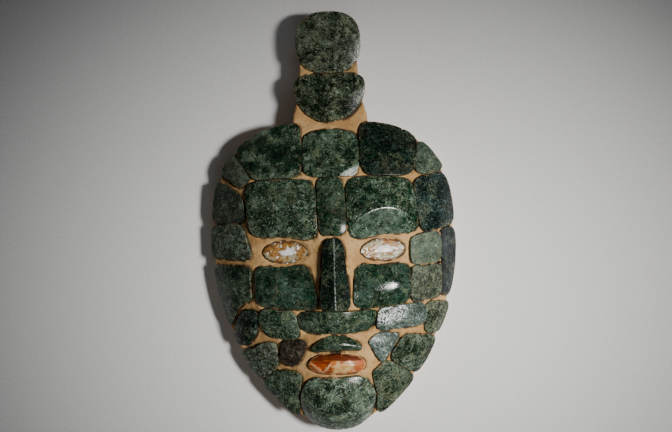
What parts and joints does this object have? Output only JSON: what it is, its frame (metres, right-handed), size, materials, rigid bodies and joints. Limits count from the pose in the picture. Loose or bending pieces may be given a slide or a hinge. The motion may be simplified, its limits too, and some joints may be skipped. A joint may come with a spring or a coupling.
{
  "type": "mosaic mask",
  "caption": "Life-size funerary mask of polished jade tiles with shell eyes and mouth, bedded in a hollow tan mortar backing whose tongue carries a topknot.",
  "frame": {"origin": "centre of the mask's footprint, on the flat rim that it lies on", "axes": "+Z out of the face, +Y from chin to topknot, +X to the viewer's right"},
  "size_m": [0.1464, 0.2505, 0.0553],
  "materials": {
    "mottled": "polished jade, mottled light and dark green",
    "dark": "polished jade, dark green with paler clouds",
    "black": "highly polished jade, nearly black",
    "pale": "polished jade, pale grey-green",
    "blue": "polished stone, speckled blue-black",
    "shell": "iridescent cream and gold shell",
    "slate": "smooth grey slate-like stone",
    "teal": "highly polished jade, deep blue-green",
    "mid": "polished jade, mid green with fine mottling",
    "grey": "highly polished jade, grey-green",
    "olive": "polished jade, grey-olive with dark specks",
    "brown": "dull dark brown stone",
    "coral": "polished orange-red shell with cream bands",
    "mortar": "matt tan mortar with fine grain"
  },
  "bodies": {
    "root": {"topknot_upper": "mottled", "topknot_lower": "mottled", "forehead_corner_left": "dark", "forehead_left": "dark", "forehead_centre": "mottled", "forehead_right": "black", "forehead_corner_right": "pale", "temple_upper_left": "dark", "brow_left": "mottled", "glabella": "dark", "brow_right": "mottled", "temple_upper_right": "blue", "temple_lower_left": "dark", "eye_left": "shell", "nose": "black", "eye_right": "shell", "temple_lower_right": "pale", "cheek_edge_right": "slate", "cheek_outer_left": "dark", "cheek_left": "teal", "cheek_right": "teal", "cheek_outer_right": "pale", "jaw_edge_left": "black", "lower_cheek_left": "mid", "nose_base": "teal", "lower_cheek_right": "grey", "lower_cheek_corner_right": "olive", "lower_side_left": "mid", "cheek_inner_left": "brown", "upper_lip": "black", "mouth": "coral", "cheek_inner_right": "grey", "lower_side_right": "olive", "jaw_left": "dark", "chin": "mottled", "jaw_right": "olive", "backing": "mortar"}
  },
  "joints": []
}
